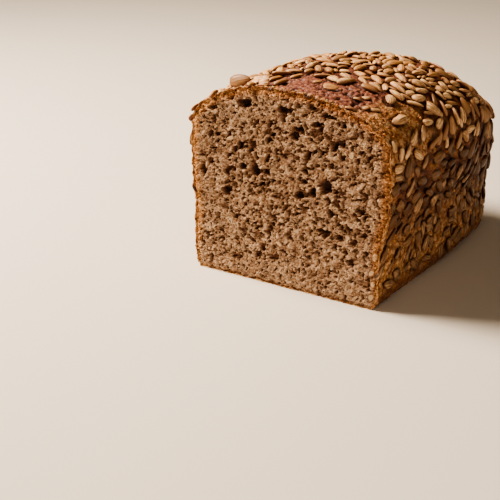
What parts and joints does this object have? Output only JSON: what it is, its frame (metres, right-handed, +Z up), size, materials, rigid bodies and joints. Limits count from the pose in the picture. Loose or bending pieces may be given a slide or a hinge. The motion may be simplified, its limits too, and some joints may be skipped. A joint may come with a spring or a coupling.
{
  "type": "seeded wheat rye bread loaf",
  "caption": "Tin-baked wheat and rye loaf, cut flat across at one end to show its open crumb, with sunflower kernels baked into the crust of its domed top, sides and heel.",
  "frame": {"origin": "under the middle of the loaf, on the plane that it stands on", "axes": "+Z up, +Y along the loaf from the cut face to the heel, +X across it, to the right of someone who faces the cut"},
  "size_m": [0.112, 0.1437, 0.1011],
  "materials": {
    "baked_crust": "matte",
    "bread_crumb": "matte",
    "sunflower_kernel": "satin"
  },
  "bodies": {
    "root": {"loaf": "baked_crust"}
  },
  "joints": []
}
